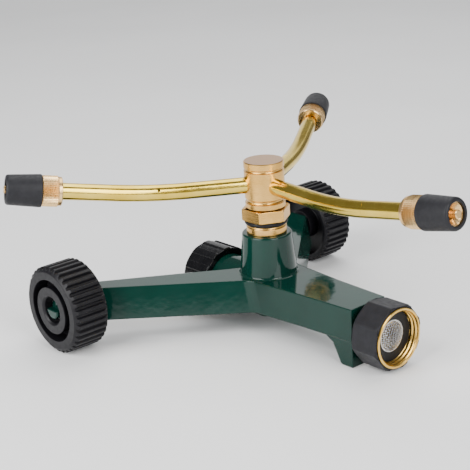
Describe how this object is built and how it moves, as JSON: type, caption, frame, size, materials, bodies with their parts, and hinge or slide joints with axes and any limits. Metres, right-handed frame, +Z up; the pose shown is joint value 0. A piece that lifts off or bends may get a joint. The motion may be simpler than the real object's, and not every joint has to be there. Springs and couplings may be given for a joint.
{
  "type": "lawn sprinkler",
  "caption": "Revolving lawn sprinkler: a brass rotor with bent spray arms and twist nozzles on a green cast base with a front foot and black wheels.",
  "frame": {"origin": "on the ground, under the middle of the whole object's box; the spin axis is 1.2 mm right of it and 24.9 mm behind it", "axes": "+Z up along the spin axis, -Y out of the hose inlet, +X to the right seen from the inlet; the axles lie along X"},
  "size_m": [0.2254, 0.2072, 0.0951],
  "materials": {
    "green_paint": "gloss paint on a casting",
    "turned_brass": "turned",
    "drawn_brass": "drawn and lightly polished",
    "wheel_plastic": "satin moulded",
    "cap_plastic": "satin moulded",
    "grip_plastic": "satin moulded",
    "sleeve_rubber": "soft matt",
    "seal_rubber": "matt",
    "bearing_nylon": "smooth",
    "steel": "bright"
  },
  "bodies": {
    "base": {"base_casting": "green_paint", "bearing_body": "turned_brass", "tower_o_ring": "seal_rubber", "thrust_washer": "bearing_nylon", "wheel_retainer_left": "steel", "wheel_retainer_right": "steel", "inlet_tailpiece": "turned_brass", "inlet_washer": "seal_rubber", "inlet_filter": "steel"},
    "inlet_nut": {"inlet_nut_grip": "grip_plastic", "inlet_nut_insert": "turned_brass"},
    "cap_seal": {"outlet_cap_washer": "seal_rubber"},
    "outlet_cap": {"outlet_cap": "cap_plastic"},
    "wheel_left": {"wheel_left": "wheel_plastic"},
    "wheel_right": {"wheel_right": "wheel_plastic"},
    "rotor": {"rotor_head": "turned_brass", "rotor_spindle": "turned_brass", "spindle_washer": "bearing_nylon", "arm_tube_1": "drawn_brass", "arm_tube_2": "drawn_brass", "arm_tube_3": "drawn_brass", "nozzle_stem_1": "turned_brass", "nozzle_stem_2": "turned_brass", "nozzle_stem_3": "turned_brass"},
    "nozzle_seal_1": {"nozzle_o_ring_1": "seal_rubber"},
    "nozzle_1": {"nozzle_barrel_1": "turned_brass", "nozzle_sleeve_1": "sleeve_rubber"},
    "nozzle_seal_2": {"nozzle_o_ring_2": "seal_rubber"},
    "nozzle_2": {"nozzle_barrel_2": "turned_brass", "nozzle_sleeve_2": "sleeve_rubber"},
    "nozzle_seal_3": {"nozzle_o_ring_3": "seal_rubber"},
    "nozzle_3": {"nozzle_barrel_3": "turned_brass", "nozzle_sleeve_3": "sleeve_rubber"}
  },
  "joints": [
    {"name": "rotor_spin", "type": "hinge", "parent": "base", "child": "rotor", "pos_m": [0.00122, 0.02494, 0.0764], "axis": [0, 0, 1], "continuous": true},
    {"name": "wheel_left_spin", "type": "hinge", "parent": "base", "child": "wheel_left", "pos_m": [-0.08598, 0.08104, 0.0226], "axis": [1, 0, 0], "continuous": true},
    {"name": "wheel_right_spin", "type": "hinge", "parent": "base", "child": "wheel_right", "pos_m": [0.08842, 0.08104, 0.0226], "axis": [1, 0, 0], "continuous": true},
    {"name": "inlet_swivel", "type": "hinge", "parent": "base", "child": "inlet_nut", "pos_m": [0.00122, -0.05306, 0.0172], "axis": [0, 1, 0], "continuous": true},
    {"name": "cap_travel", "type": "slide", "parent": "base", "child": "cap_seal", "axis": [0, 1, 0], "range_m": [0, 0.0089]},
    {"name": "cap_turn", "type": "hinge", "parent": "cap_seal", "child": "outlet_cap", "pos_m": [0.00122, 0.06694, 0.018], "axis": [0, 1, 0], "range_deg": [0, 1440]},
    {"name": "nozzle_travel_1", "type": "slide", "parent": "rotor", "child": "nozzle_seal_1", "axis": [-0.878, 0.4512, 0.1599], "range_m": [-0.00122, 0.00122]},
    {"name": "nozzle_turn_1", "type": "hinge", "parent": "nozzle_seal_1", "child": "nozzle_1", "pos_m": [-0.09456, 0.08073, 0.08518], "axis": [-0.878, 0.4512, 0.1599], "range_deg": [-360, 360]},
    {"name": "nozzle_travel_2", "type": "slide", "parent": "rotor", "child": "nozzle_seal_2", "axis": [-0.0086, -0.9871, 0.1599], "range_m": [-0.00122, 0.00122]},
    {"name": "nozzle_turn_2", "type": "hinge", "parent": "nozzle_seal_2", "child": "nozzle_2", "pos_m": [-0.00558, -0.0857, 0.08518], "axis": [-0.0086, -0.9871, 0.1599], "range_deg": [-360, 360]},
    {"name": "nozzle_travel_3", "type": "slide", "parent": "rotor", "child": "nozzle_seal_3", "axis": [0.8066, 0.569, 0.1599], "range_m": [-0.00122, 0.00122]},
    {"name": "nozzle_turn_3", "type": "hinge", "parent": "nozzle_seal_3", "child": "nozzle_3", "pos_m": [0.09504, 0.08398, 0.08518], "axis": [0.8066, 0.569, 0.1599], "range_deg": [-360, 360]}
  ],
  "couplings": [
    {"joint": "cap_travel", "follows": "cap_turn", "m_per_rad": 0.00035014},
    {"joint": "nozzle_travel_1", "follows": "nozzle_turn_1", "m_per_rad": 0.00019099},
    {"joint": "nozzle_travel_2", "follows": "nozzle_turn_2", "m_per_rad": 0.00019099},
    {"joint": "nozzle_travel_3", "follows": "nozzle_turn_3", "m_per_rad": 0.00019099}
  ]
}
